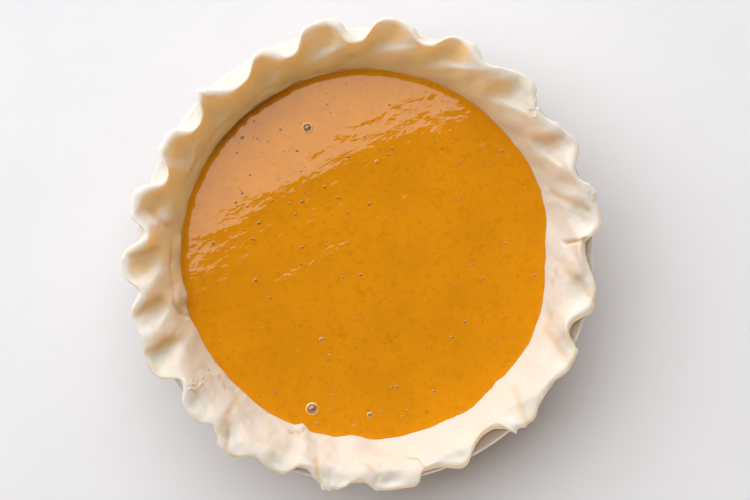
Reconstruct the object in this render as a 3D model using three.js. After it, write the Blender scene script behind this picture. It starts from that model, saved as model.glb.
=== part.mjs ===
// A pumpkin pie in its own dish, uncut and unbaked: a glazed pie dish, a pastry case whose rim is pinched into
// slanted flutes, and a smooth custard poured up to the foot of the flutes.
//
// Millimetres, +Z up, with the origin at the centre of the dish's flat base. Angles are in degrees from +X,
// anticlockwise seen from above. Every piece is a closed profile carried round the upright axis.
import * as THREE from 'three';

const { abs, cos, min, sin, tan } = Math;
const { degToRad, euclideanModulo, lerp, smoothstep } = THREE.MathUtils;

// Gap left between two pieces that touch.
const GAP = 0.3;

// Dish: a flat base, a wall that leans out, and a flat rim with a round edge.
const DISH_HEIGHT = 45;
const RIM_RADIUS = 125;
const RIM_THICKNESS = 4.5;
const MOUTH_RADIUS = 114.3; // where the inner face of the wall, drawn on, meets the height of the rim
const WALL_LEAN = degToRad(30);
const WALL_THICKNESS = 5;
const BASE_THICKNESS = 5;
const CORNER_RADIUS = 8; // inside, from the base to the wall
const SHOULDER_RADIUS = 3; // inside, from the wall to the rim
const UNDER_RIM_RADIUS = 2; // outside, from the wall to the rim
const HEEL_RADIUS = 3; // outside, from the wall to the base
const DISH_COLUMNS = 96;

// Pastry case: its inner face stands CASE_INSET in from the dish's wall, up to the height of the filling.
// Above that it spreads into the flutes, which end in a rounded lip.
const CASE_COLUMNS = 240;
const CASE_INSET = 5.2;
const CASE_FLOOR = 8.8; // height of the pastry's upper face in the middle
const CASE_CORNER_RADIUS = 10;
const CREST_HEIGHT = 60; // at a notch
const TIP_DROP = 1; // how much lower the lip runs at a tip than at a notch
const LIP_THICKNESS = 4.8; // at a notch
const LIP_THICKNESS_LEAST = 3.6;
const LIP_HALF_HEIGHT = 2.7;
const FOOT_INSET = 2; // from the rim's edge to where an overhanging tip leaves the rim
const FOOT_BEVEL = 0.8;

// Flutes: each is a ridge that slants outwards and clockwise to its tip. Between two ridges a cup is pressed in
// behind the tip with a finger.
const SLANT = 4.5; // mean turn of the flutes, in degrees, between the rim and the filling
const SLANT_VARIES = 8;
const SLANT_MOST_AT = 60; // degrees
const TURN_POWER = 1.7; // over 1, the turn comes slowly at the lip and faster towards the filling
const LIP_LEAD = 1.5; // degrees, clockwise, from the lip's inner edge to its outer one
const CUP_FULL_AT = 0.85; // where a cup is full depth, as a share of the way from the notch clockwise of its tip
const NOTCH_FLAT = 0.12; // share of a half flute that stays flat at the bottom of its notch
const LEAN_IN = 4; // mean distance that the lip leans in at a notch
const LEAN_IN_VARIES = 2;
const LEAN_IN_MOST_AT = 120; // degrees
const LEAN_FROM = 126; // reach from which the lip starts to lean in
const LEAN_FULL = 4; // how far inside that it leans in all the way

// Face of a flute: from the filling it climbs the wall to a knee, runs out to a bend and rises to the lip.
const BEND_SHARE = 0.35; // where the bend lies between the wall, drawn on, and the lip
const BEND_CLEAR = 0.8; // the least distance from the bend to the lip
const RIDGE_FALL = 0.5; // from the crest down to the bend on a ridge
const KNEE_DROP = 3.5; // from the bend down to the knee on a ridge
const CUP_KNEE_RISE = 2; // how much nearer the bend's height the knee is in a cup
const KNEE_CLEAR = 0.5; // the least distance from the knee to the bend

// The flutes in order, anticlockwise. Angles are in degrees and reaches are from the axis. The notch is the one
// anticlockwise of the tip, and the breadth is the share of a half flute that stays full at its tip. The edge is
// how many degrees the cup takes to rise on its anticlockwise side, and the lip is how thick it is at the tip.
const FLUTES = [
  // tip, its reach, notch, its reach, breadth, depth of the cup, its edge, lip
  [9.5, 129, 22, 123.9, 0.4, 8, 5.5, 4.8],
  [27.5, 130.5, 39, 124.2, 0.05, 10.5, 5, 4.8],
  [46.3, 130, 57, 124.4, 0.1, 10.5, 5, 5.2],
  [66, 128.8, 73, 123.4, 0.15, 10.5, 5, 3.6],
  [83.5, 129.2, 92, 122.2, 0.15, 10.5, 5.5, 3.8],
  [101, 129.2, 110, 122, 0.3, 11, 7, 5],
  [117, 125.3, 126, 121, 0.15, 15, 7, 5.6],
  [135, 125.5, 142, 121, 0.15, 15, 6, 6.4],
  [150, 125.7, 159, 121.5, 0.3, 15, 6, 6.4],
  [167, 129, 174.5, 123, 0.35, 12, 5, 6.4],
  [183, 132.3, 189, 124.3, 0.3, 10.5, 5, 7.4],
  [195.5, 130.5, 201, 128, 0.2, 10.5, 4, 7.4],
  [206.5, 131.8, 215, 123, 0.3, 9.5, 5, 4.8],
  [223.5, 127.8, 228, 124.3, 0.4, 3, 4, 4.8],
  [234, 130.3, 241.5, 124.6, 0.35, 4, 4, 4.8],
  [247, 126.7, 254, 121.2, 0.3, 2, 5, 4.8],
  [261.3, 128.8, 269, 123.1, 0.1, 3, 5, 4.8],
  [277, 128, 286.5, 122, 0.6, 1.5, 6, 4.8],
  [295, 125.9, 304, 117.5, 0.05, 2, 6, 4.8],
  [314, 127.6, 325, 123.8, 0.1, 5, 5, 4.8],
  [334.3, 126.5, 340, 119.1, 0.3, 8, 4.5, 4.8],
  [349, 126.8, 362, 120.3, 0.3, 8, 6, 4.8],
].map(([tip, tipReach, notch, notchReach, breadth, depth, edge, lip]) => ({
  tip, tipReach, notch, notchReach, breadth, depth, edge, lip,
}));

// Places where the pastry's wall stands further out at the filling's edge, or, below zero, hangs over it.
const WALL_SWELLS = [
  // angle, half width in degrees, distance outwards
  [25, 22, 1.6],
  [60, 25, 0.8],
  [92, 18, 0.9],
  [193, 4, -0.9],
  [227, 5, -1],
  [250, 3, -2.2],
  [265.5, 6, -2.2],
  [279, 9, 0.5],
  [304, 9, 1.2],
  [316, 3, -0.8],
  [330, 12, 0.9],
  [358, 16, -2.4],
];

// Filling
const FILLING_HEIGHT = 34;

// Where the profile of the case and the filling has its points.
const BEND_STEPS = [0.5, 1]; // round the knee and round the bend of a flute's face
const LIP_STEPS = [0, 0.25, 0.5, 0.75, 1]; // over the lip, from inside to outside

const smooth = (x) => smoothstep(x, 0, 1);

// Degrees between two angles, whichever way round is less.
function degreesApart(angle, other) {
  return abs(euclideanModulo(angle - other + 180, 360) - 180);
}

// Radius of the dish's wall at a height, on a face that lies inset in from its inner face.
function wallRadius(height, inset) {
  return MOUTH_RADIUS - inset / cos(WALL_LEAN) - (DISH_HEIGHT - height) * tan(WALL_LEAN);
}

// Radius of the centre of an arc that touches that face. The arc's own radius is below zero where its centre
// lies outside the wall.
function arcCentre(height, arcRadius, inset) {
  return wallRadius(height - arcRadius * sin(WALL_LEAN), inset) - arcRadius * cos(WALL_LEAN);
}

// Points of an arc in a profile, as [radius, height, turn]. Its angles are measured up from outwards.
function arc(centre, height, arcRadius, angles, turn = 0) {
  return angles.map(degToRad).map((a) => [centre + arcRadius * cos(a), height + arcRadius * sin(a), turn]);
}

// The flute at an angle, the share of the way along it from its notch to its tip, the reach of that notch, and
// whether the angle lies clockwise of the tip.
function fluteAt(angle) {
  const first = FLUTES.at(-1).notch - 360;
  const at = first + euclideanModulo(angle - first, 360);
  const k = FLUTES.findIndex(({ notch }) => at < notch);
  const flute = FLUTES[k];
  const clockwise = at < flute.tip;
  const side = clockwise ? FLUTES.at(k - 1) : flute;
  const notch = clockwise && k === 0 ? side.notch - 360 : side.notch;
  return { flute, along: (at - notch) / (flute.tip - notch), notchReach: side.notchReach, clockwise };
}

// Reach of the rim's outline at an angle, and how much of a tip it is there.
function outlineAt(angle) {
  const { flute, along, notchReach } = fluteAt(angle);
  const share = smooth((along - NOTCH_FLAT) / (1 - NOTCH_FLAT - flute.breadth));
  return { reach: lerp(notchReach, flute.tipReach, share), share, lip: lerp(LIP_THICKNESS, flute.lip, share) };
}

// Share of the way down into a cup at an angle, and the depth there.
function cupAt(angle) {
  const { flute, along, clockwise } = fluteAt(angle);
  const share = smooth(clockwise ? along / CUP_FULL_AT : 1 - degreesApart(angle, flute.tip) / flute.edge);
  return { share, depth: share * flute.depth };
}

// Degrees that the flutes turn between the rim and the filling, at an angle on the rim.
function slantAt(angle) {
  return SLANT + SLANT_VARIES * cos(degToRad(angle - SLANT_MOST_AT));
}

// How far outwards the pastry's wall is swelled at an angle, at the height of the filling.
function swellAt(angle) {
  return WALL_SWELLS.reduce((sum, [at, half, outwards]) => (
    sum + outwards * smooth(1 - degreesApart(angle, at) / half)
  ), 0);
}

// The pastry's inner face below the filling: a round corner, offset outwards by a gap for the case itself or
// inwards for the filling in it.
function innerCorner(inset, turn) {
  const height = CASE_FLOOR + CASE_CORNER_RADIUS;
  const centre = arcCentre(height, CASE_CORNER_RADIUS, CASE_INSET);
  return arc(centre, height, CASE_CORNER_RADIUS - inset, [-90, -30], turn);
}

// Profile of the dish, from the middle of its upper face over the rim to the middle of its base.
function dishProfile() {
  const corner = BASE_THICKNESS + CORNER_RADIUS;
  const shoulder = DISH_HEIGHT - SHOULDER_RADIUS;
  const edge = RIM_THICKNESS / 2;
  const underRim = DISH_HEIGHT - RIM_THICKNESS - UNDER_RIM_RADIUS;
  const outer = -WALL_THICKNESS;
  return [
    [0, BASE_THICKNESS],
    ...arc(arcCentre(corner, CORNER_RADIUS, 0), corner, CORNER_RADIUS, [-90, -60, -30]),
    ...arc(arcCentre(shoulder, -SHOULDER_RADIUS, 0), shoulder, SHOULDER_RADIUS, [150, 120, 90]),
    ...arc(RIM_RADIUS - edge, DISH_HEIGHT - edge, edge, [90, 45, 0, -45, -90]),
    ...arc(arcCentre(underRim, -UNDER_RIM_RADIUS, outer), underRim, UNDER_RIM_RADIUS, [90, 120, 150]),
    ...arc(arcCentre(HEEL_RADIUS, HEEL_RADIUS, outer), HEEL_RADIUS, HEEL_RADIUS, [-30, -90]),
    [0, 0],
  ];
}

// Profile of the rounded lip at an angle: an ellipse whose arc opens inwards over a cup, to run down its
// face, and turns under at a tip, which overhangs.
function lipAt(angle, cup) {
  const { reach, share } = outlineAt(angle);
  const inside = outlineAt(angle - LIP_LEAD);
  const most = LEAN_IN + LEAN_IN_VARIES * cos(degToRad(angle - LEAN_IN_MOST_AT));
  const leaned = (from) => from - most * smooth((LEAN_FROM - from) / LEAN_FULL);
  const outer = leaned(reach);
  const inner = min(leaned(inside.reach) - inside.lip, outer - LIP_THICKNESS_LEAST);
  const top = CREST_HEIGHT - TIP_DROP * share;
  const start = degToRad(90 + 60 * cup.share);
  const end = degToRad(30 - 60 * share);
  const points = LIP_STEPS.map((step) => lerp(start, end, step)).map((a) => [
    (outer + inner) / 2 + (outer - inner) / 2 * cos(a),
    top - LIP_HALF_HEIGHT * (1 - sin(a)),
  ]);
  return { points, reach, top };
}

// Face of a flute at an angle, from the filling's edge to just below the lip, rounded at its knee and its bend.
// Each point turns with how far in from the lip it lies.
function flutePoints(angle, cup, top, lipStart) {
  const lip = new THREE.Vector2(...lipStart);
  const slant = slantAt(angle);
  const slope = tan(WALL_LEAN);
  const edge = wallRadius(FILLING_HEIGHT, CASE_INSET) + swellAt(angle + slant);
  const bendHeight = top - cup.depth - RIDGE_FALL * (1 - cup.share);
  const wall = edge + (bendHeight - FILLING_HEIGHT) * slope;
  const bendRadius = min(lerp(wall, lip.x, BEND_SHARE), lip.x - BEND_CLEAR);
  const kneeHeight = bendHeight - KNEE_DROP + CUP_KNEE_RISE * cup.share;
  const climb = min(kneeHeight - FILLING_HEIGHT, (bendRadius - KNEE_CLEAR - edge) / slope);
  const start = new THREE.Vector2(edge, FILLING_HEIGHT);
  const knee = new THREE.Vector2(edge + climb * slope, FILLING_HEIGHT + climb);
  const bend = new THREE.Vector2(bendRadius, bendHeight);
  const middle = (a, b) => a.clone().lerp(b, 0.5);
  const aroundKnee = new THREE.QuadraticBezierCurve(middle(start, knee), knee, middle(knee, bend));
  const aroundBend = new THREE.QuadraticBezierCurve(middle(knee, bend), bend, middle(bend, lip));
  const points = [aroundKnee, aroundBend].flatMap((curve) => BEND_STEPS.map((step) => curve.getPoint(step)));
  return [start, ...points].map(({ x, y }) => [x, y, slant * ((lip.x - x) / (lip.x - edge)) ** TURN_POWER]);
}

// Profile of the pastry case at an angle, from the middle of its floor over the lip to the middle of its
// underside, which follows the dish.
function caseProfile(angle) {
  const cup = cupAt(angle);
  const lip = lipAt(angle, cup);
  const foot = min(lip.reach, RIM_RADIUS - FOOT_INSET);
  const shoulder = DISH_HEIGHT - SHOULDER_RADIUS;
  const corner = BASE_THICKNESS + CORNER_RADIUS;
  return [
    [0, CASE_FLOOR],
    ...innerCorner(0, slantAt(angle)),
    ...flutePoints(angle, cup, lip.top, lip.points[0]),
    ...lip.points,
    [foot, DISH_HEIGHT + GAP + FOOT_BEVEL],
    [foot - FOOT_BEVEL, DISH_HEIGHT + GAP],
    ...arc(arcCentre(shoulder, -SHOULDER_RADIUS, 0), shoulder, SHOULDER_RADIUS + GAP, [90, 120, 150]),
    ...arc(arcCentre(corner, CORNER_RADIUS, 0), corner, CORNER_RADIUS - GAP, [-30, -90]),
    [0, BASE_THICKNESS + GAP],
  ];
}

// Profile of the filling at an angle, from the middle of its surface to the middle of its underside. It turns
// as the case does, so that the two edges face each other point for point.
function fillingProfile(angle) {
  const turn = slantAt(angle);
  const edge = wallRadius(FILLING_HEIGHT, CASE_INSET + GAP) + swellAt(angle + turn);
  return [
    [0, FILLING_HEIGHT],
    [edge, FILLING_HEIGHT, turn],
    ...innerCorner(GAP, turn).reverse(),
    [0, CASE_FLOOR + GAP],
  ];
}

// Carries a profile round the axis. profileAt gives it at an angle as [radius, height, turn] rows, each turned
// on by its own turn, if it has one. The first and the last row are points on the axis. Each four-sided patch is
// split along its shorter diagonal, so that two faces that lie a gap apart are split alike.
function sweep(profileAt, columns) {
  const positions = [];
  let rings = 0;
  for (let column = 0; column < columns; column += 1) {
    const angle = column * 360 / columns;
    const rows = profileAt(angle).slice(1, -1);
    rings = rows.length;
    for (const [radius, height, turn = 0] of rows) {
      const a = degToRad(angle + turn);
      positions.push(radius * cos(a), radius * sin(a), height);
    }
  }
  const profile = profileAt(0);
  positions.push(0, 0, profile.at(0)[1], 0, 0, profile.at(-1)[1]);

  const pointAt = (index) => new THREE.Vector3().fromArray(positions, 3 * index);
  const top = columns * rings;
  const bottom = top + 1;
  const indices = [];
  for (let column = 0; column < columns; column += 1) {
    const here = column * rings;
    const next = (column + 1) % columns * rings;
    indices.push(top, here, next);
    for (let ring = 0; ring < rings - 1; ring += 1) {
      const [a, b, c, d] = [here + ring, here + ring + 1, next + ring + 1, next + ring];
      if (pointAt(a).distanceTo(pointAt(c)) < pointAt(b).distanceTo(pointAt(d))) {
        indices.push(a, b, c, a, c, d);
      } else {
        indices.push(a, b, d, b, c, d);
      }
    }
    indices.push(here + rings - 1, bottom, next + rings - 1);
  }
  const geometry = new THREE.BufferGeometry();
  geometry.setAttribute('position', new THREE.Float32BufferAttribute(positions, 3));
  geometry.setIndex(indices);
  geometry.computeVertexNormals();
  return geometry;
}

function addPiece(group, name, geometry, finish) {
  const mesh = new THREE.Mesh(geometry, new THREE.MeshStandardMaterial(finish));
  mesh.name = name;
  group.add(mesh);
}

const pie = new THREE.Group();
addPiece(pie, 'dish', sweep(dishProfile, DISH_COLUMNS), { color: 0xd8cfc4, roughness: 0.3, metalness: 0 });
addPiece(pie, 'crust', sweep(caseProfile, CASE_COLUMNS), { color: 0xf0dfc2, roughness: 0.7, metalness: 0 });
addPiece(pie, 'filling', sweep(fillingProfile, CASE_COLUMNS), { color: 0xd5841b, roughness: 0.2, metalness: 0 });

export default pie;
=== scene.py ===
"""A pumpkin pie in its own dish, uncut and unbaked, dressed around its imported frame.

The file is laid out as a Blender add-on. Its property groups hold the sizes and colours, and each operator
makes one piece: the dish, the pastry case, the crumbs on it, the custard, its bubbles, and the stage.

Shapes are worked out with numpy in millimetres and become metres when they are put into a mesh. Every large
piece is a skin: a grid whose rows run from the middle of its top, over its edge, to the middle of its
underside, and whose columns run anticlockwise round the upright axis. Angles are in degrees from +X, apart
from those in the property groups, which are in radians.
"""

from math import ceil, cos, pi, radians, sin, tan
from types import SimpleNamespace

import bpy
import numpy as np
from bpy.props import FloatProperty, FloatVectorProperty, IntProperty, PointerProperty
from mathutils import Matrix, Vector
from mathutils.bvhtree import BVHTree


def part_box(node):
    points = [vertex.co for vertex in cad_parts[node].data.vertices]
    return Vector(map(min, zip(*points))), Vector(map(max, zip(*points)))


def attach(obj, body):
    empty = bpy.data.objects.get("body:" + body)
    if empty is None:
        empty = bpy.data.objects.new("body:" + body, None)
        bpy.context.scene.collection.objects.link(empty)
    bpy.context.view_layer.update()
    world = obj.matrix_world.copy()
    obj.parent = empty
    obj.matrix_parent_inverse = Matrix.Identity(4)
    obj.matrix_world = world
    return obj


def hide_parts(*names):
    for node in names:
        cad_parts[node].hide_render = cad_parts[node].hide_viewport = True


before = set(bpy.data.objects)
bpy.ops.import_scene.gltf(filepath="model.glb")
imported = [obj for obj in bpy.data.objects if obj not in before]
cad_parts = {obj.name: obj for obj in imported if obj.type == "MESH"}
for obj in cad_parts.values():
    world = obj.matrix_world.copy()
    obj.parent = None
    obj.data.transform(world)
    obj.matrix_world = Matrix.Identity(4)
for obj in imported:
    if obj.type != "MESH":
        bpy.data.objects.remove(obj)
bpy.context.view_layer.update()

bl_info = {
    "name": "Pumpkin Pie",
    "version": (1, 0, 0),
    "blender": (4, 5, 0),
    "location": "3D View > Sidebar > Pie",
    "description": "Makes a raw pumpkin pie in its dish, with a stage to show it on",
    "category": "Add Mesh",
}

MM = 0.001
GAP = 0.3  # between two pieces that touch
TINY = 1e-9
WAVE_LENGTHS = (0.7, 1.5)  # of the waves that noise is made of, as shares of its size

# The flutes in order, anticlockwise. The notch is the one anticlockwise of the tip, and reaches are from
# the axis. Breadth is the share of a half flute that stays full at its tip. The cup is pressed in behind the
# tip, and its edge is how many degrees its anticlockwise side takes to rise. Lip is the lip's thickness at
# the tip.
FLUTES = np.array([
    # tip, reach, notch, reach, breadth, cup depth, cup edge, lip
    (9.5, 129, 22, 123.9, 0.40, 8, 5.5, 4.8),
    (27.5, 130.5, 39, 124.2, 0.05, 10.5, 5, 4.8),
    (46.3, 130, 57, 124.4, 0.10, 10.5, 5, 5.2),
    (66, 128.8, 73, 123.4, 0.15, 10.5, 5, 3.6),
    (83.5, 129.2, 92, 122.2, 0.15, 10.5, 5.5, 3.8),
    (101, 129.2, 110, 122, 0.30, 11, 7, 5),
    (117, 125.3, 126, 121, 0.15, 15, 7, 5.6),
    (135, 125.5, 142, 121, 0.15, 15, 6, 6.4),
    (150, 125.7, 159, 121.5, 0.30, 15, 6, 6.4),
    (167, 129, 174.5, 123, 0.35, 12, 5, 6.4),
    (183, 132.3, 189, 124.3, 0.30, 10.5, 5, 7.4),
    (195.5, 130.5, 201, 128, 0.20, 10.5, 4, 7.4),
    (206.5, 131.8, 215, 123, 0.30, 9.5, 5, 4.8),
    (223.5, 127.8, 228, 124.3, 0.40, 3, 4, 4.8),
    (234, 130.3, 241.5, 124.6, 0.35, 4, 4, 4.8),
    (247, 126.7, 254, 121.2, 0.30, 2, 5, 4.8),
    (261.3, 128.8, 269, 123.1, 0.10, 3, 5, 4.8),
    (277, 128, 286.5, 122, 0.60, 1.5, 6, 4.8),
    (295, 125.9, 304, 117.5, 0.05, 2, 6, 4.8),
    (314, 127.6, 325, 123.8, 0.10, 5, 5, 4.8),
    (334.3, 126.5, 340, 119.1, 0.30, 8, 4.5, 4.8),
    (349, 126.8, 362, 120.3, 0.30, 8, 6, 4.8),
])

# Where the edge of the rim is nipped or drawn out: angle, half width, millimetres outwards.
EDGE_NIPS = [
    (15.5, 2.6, 0.8), (33, 3, -1.0), (53, 4, 0.8), (104, 4, -0.8), (136, 2.2, 1.0), (171, 3, 0.8),
    (198, 2.5, 0.8), (220, 1.5, 0.5), (236, 2, 0.8), (280.5, 1.6, -0.8), (318.8, 3.2, -1.4), (331, 2.5, 1.0),
    (345.5, 2, -0.8), (350.3, 1.2, 0.6), (354, 3.2, -1.8),
]

# Where the edge is torn into teeth and nicks, too small for fingers to smooth: the same three values.
EDGE_TEETH = [
    (3.6, 1.2, -1.4), (13.0, 1.6, -2.2), (17.4, 0.8, 0.6), (43, 0.9, -1.0), (40, 0.8, 0.9),
    (135.4, 1.0, 1.6), (231, 1.2, -1.4), (259.6, 0.8, 1.2), (262.4, 1.0, -1.0), (284.4, 0.7, -1.0),
    (310.2, 1.3, 3.6), (308.4, 0.6, -0.6), (312.9, 0.8, 0.8), (337.6, 0.8, 0.8), (348.6, 0.7, -0.8),
]

# Where the inner wall, at the custard, swells or stands back: angle, half width, millimetres outwards.
WALL_SWELLS = [
    (358, 16, -2.4), (25, 22, 1.6), (60, 25, 0.8), (92, 18, 0.9), (250, 3.0, -2.2), (266.3, 6, -2.4),
    (227, 5, -1.0), (193, 4, -0.9), (304, 9, 1.2), (330, 12, 0.9), (316, 3, -0.8), (279, 9, 0.5),
]

# The case's skin: columns round it, rows of its inner face from the custard to the crest, of its lip and of
# its back, the number of the face's first row, and those where the crest, the back and its foot come.
CASE_COLUMNS, FACE_ROWS, LIP_ROWS, BACK_ROWS = 1056, 45, 16, 9
FACE = 9
CREST = FACE + FACE_ROWS - 1
BACK = CREST + LIP_ROWS
FOOT = BACK + BACK_ROWS

# Creases pressed or torn into the dough, each along corners in angle and radius: half width, depth, tint.
# The tint is painted shade in the crease.
CREASES = [
    ([(104, 104), (121, 106), (140, 106.5), (158, 106.5)], 0.9, 0.35, 0.35),
    ([(172, 108.5), (168, 118.5)], 1.6, 1.0, 0.4),
    ([(176, 106.5), (183, 106.5), (194, 108)], 0.8, 0.5, 0.5),
    ([(194.5, 108), (197, 106), (199, 103)], 0.9, 0.8, 0.5),
    ([(220, 104.5), (223.5, 105.5), (226, 102.5)], 0.8, 0.6, 0.5),
    ([(228, 104), (229.3, 112), (230.6, 122)], 2.3, 0.6, 0.40),
    ([(231.6, 118), (233.6, 124), (234.4, 128)], 1.5, 0.5, 0.45),
    ([(247, 106), (248.8, 104), (251, 101.5)], 0.6, 1.2, 0.9),
    ([(256.8, 113.5), (258.6, 126)], 1.7, 0.5, 0.6),
    ([(271, 113), (273.5, 119), (272, 124)], 1.6, 0.4, 0.25),
    ([(282, 112), (284.7, 114), (285.7, 119), (284.5, 124)], 0.6, 0.8, 0.8),
    ([(314, 126), (315.6, 117.5), (318, 109)], 2.4, 0.6, 0.4),
    ([(331.5, 127), (334, 118), (337, 108), (342, 106)], 2.8, 0.6, 0.45),
    ([(336.5, 125), (338, 120)], 0.7, 0.7, 0.8),
    ([(350, 122), (354, 113.5), (358, 107.5)], 2.8, 0.5, 0.4),
    ([(3.4, 109.5), (4.2, 118)], 1.1, 1.6, 0.9),
    ([(11.5, 122), (14.5, 115), (18, 107.5)], 2.0, 0.7, 0.42),
    ([(350, 104), (356, 105.5)], 0.6, 0.4, 0.4),
]

# Streaks where the dough is tinted tan, with no relief of their own: corners, half width, tint. The first
# three are painted shade on the sides of cups turned from the window.
STREAKS = [
    ([(180, 126), (178, 112.5)], 1.8, 0.8),
    ([(194.3, 126), (191.5, 112)], 2.6, 0.85),
    ([(204, 128), (203, 113)], 2.4, 0.75),
    ([(243, 113), (247, 115)], 2.0, 0.3),
    ([(8.5, 130), (12, 129)], 1.2, 0.5),
    ([(206, 132), (209, 131.5)], 1.2, 0.5),
    ([(236, 130.5), (238.5, 128)], 1.3, 0.7),
    ([(247, 127.5), (250, 126.5)], 1.0, 0.6),
    ([(312, 128), (316, 127)], 1.3, 0.5),
    ([(331, 127), (335.5, 126.5)], 1.6, 0.6),
    ([(345.5, 126), (350.5, 126.5)], 1.3, 0.6),
]

# Patches where the dough is broken and crumbly: angle, radius, half width, roughness, number of crumbs.
BROKEN = [
    (217.3, 115.0, 7.5, 0.6, 12), (41.0, 120.0, 6.5, 0.55, 10),
    (126.0, 106.0, 4.0, 0.35, 2), (15.5, 125.5, 3.0, 0.3, 4),
]

# Large bubbles in the custard: angle, radius, size across.
BUBBLES = [
    (251.0, 90.2, 5.0), (114.5, 77.3, 4.3), (136.3, 94.0, 2.4), (271.7, 88.7, 2.3), (242.7, 52.7, 1.8),
    (140.7, 98.7, 1.6), (257.5, 87.6, 1.0), (256.9, 79.8, 0.9), (266.4, 95.1, 1.2), (235.3, 65.1, 0.9),
    (250.4, 59.1, 0.9), (133.6, 89.7, 1.0), (83.1, 52.1, 1.1),
]

# Trails that the pouring left, where the custard's surface dips a little, each along corners in angle and
# radius: half width, depth. The first is broad and bends the window's reflection, and those with one corner
# are dimples.
TRAILS = [
    ([(172.5, 50.4), (56.4, 49.8)], 25, 0.45),
    ([(120, 75.5), (114.3, 71.7), (102, 64)], 3.0, 0.040),
    ([(111.8, 76.3), (104.8, 72.1)], 1.0, 0.016),
    ([(140.9, 77.2), (133.6, 74.9), (121.9, 68.4)], 1.6, 0.024),
    ([(148.4, 86.6), (141.2, 84.8), (132.7, 84.3)], 1.7, 0.030),
    ([(138.2, 93), (133.5, 87.8)], 1.8, 0.036),
    ([(101.1, 78.4), (92.6, 80.6)], 1.2, 0.020),
    ([(88.9, 77.5), (81.9, 85.6), (75, 93.5)], 1.3, 0.026),
    ([(81.1, 81.8), (72.6, 82.4), (66, 81.2)], 2.0, 0.030),
    ([(105.9, 71.4), (94.5, 69.4), (87.9, 72)], 1.5, 0.020),
    ([(155.3, 72.7), (146.3, 68.8)], 1.5, 0.020),
    ([(66.1, 93.9), (64.7, 83.9), (60.2, 81)], 2.2, 0.034),
    ([(124.8, 88)], 1.1, 0.022),
    ([(106.6, 82.6)], 1.0, 0.018),
    ([(81.1, 95.8)], 1.0, 0.020),
    ([(101.5, 61.6), (94.7, 62.8)], 1.8, 0.020),
]

# Where the rim's shadow lies widest on the custard's edge: angle, half width, strength.
THICK_SHADOW = [(132, 30, 0.6), (122, 55, 0.5), (180, 35, 0.3)]


# ------------------------------------------------------------ property groups

def number(name, description, value, **more):
    """A plain number, or the base of the two after it."""
    return FloatProperty(name=name, description=description, default=value, **more)


def length(name, description, millimetres):
    """A length given in millimetres and kept in metres."""
    return number(name, description, millimetres * MM, unit="LENGTH", precision=4)


def angle(name, description, degrees):
    """An angle given in degrees and kept in radians."""
    return number(name, description, radians(degrees), subtype="ANGLE")


def colour(name, description, *parts):
    """A linear colour from its red, green and blue."""
    return FloatVectorProperty(
        name=name, description=description, default=parts, subtype="COLOR", size=3, min=0, max=1)


def top_of(node):
    """Height of a node's top in the frame, in millimetres."""
    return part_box(node)[1].z / MM


class DishSizes(bpy.types.PropertyGroup):
    """Sizes and colours of the pie dish."""
    height: length("Height", "Height of the rim's upper face", top_of("dish"))
    rim_radius: length("Rim radius", "From the axis to the rim's edge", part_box("dish")[1].x / MM)
    rim_thickness: length("Rim thickness", "Thickness of the flat rim", 4.5)
    mouth_radius: length("Mouth radius", "Where the inner wall, drawn on, meets the rim's height", 114.3)
    wall_lean: angle("Wall lean", "How far the wall leans out from upright", 30)
    wall_thickness: length("Wall thickness", "Thickness of the wall, square to it", 5)
    base_thickness: length("Base thickness", "Thickness of the flat base", 5)
    corner_radius: length("Corner radius", "Inside, from the base to the wall", 8)
    shoulder_radius: length("Shoulder radius", "Inside, from the wall to the rim", 3)
    under_rim_radius: length("Under-rim radius", "Outside, from the wall to the rim", 2)
    heel_radius: length("Heel radius", "Outside, from the wall to the base", 3)
    throwing_depth: length("Throwing rings", "Height of the faint rings round the outer wall", 0.12)
    glaze: colour("Glaze", "Colour of the glaze", 0.76, 0.71, 0.67)
    outside: colour("Outside", "Colour of the thinner, warmer glaze on the outer wall", 0.28, 0.15, 0.08)
    # The next colour is a painted contact shadow, dark brown on the rim next to the pastry.
    grease: colour("Grease", "Colour of the browned butter on the rim next to the pastry", 0.10, 0.05, 0.03)
    clay: colour("Clay", "Colour where the glaze runs thin and on the bare foot", 0.42, 0.29, 0.19)


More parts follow.
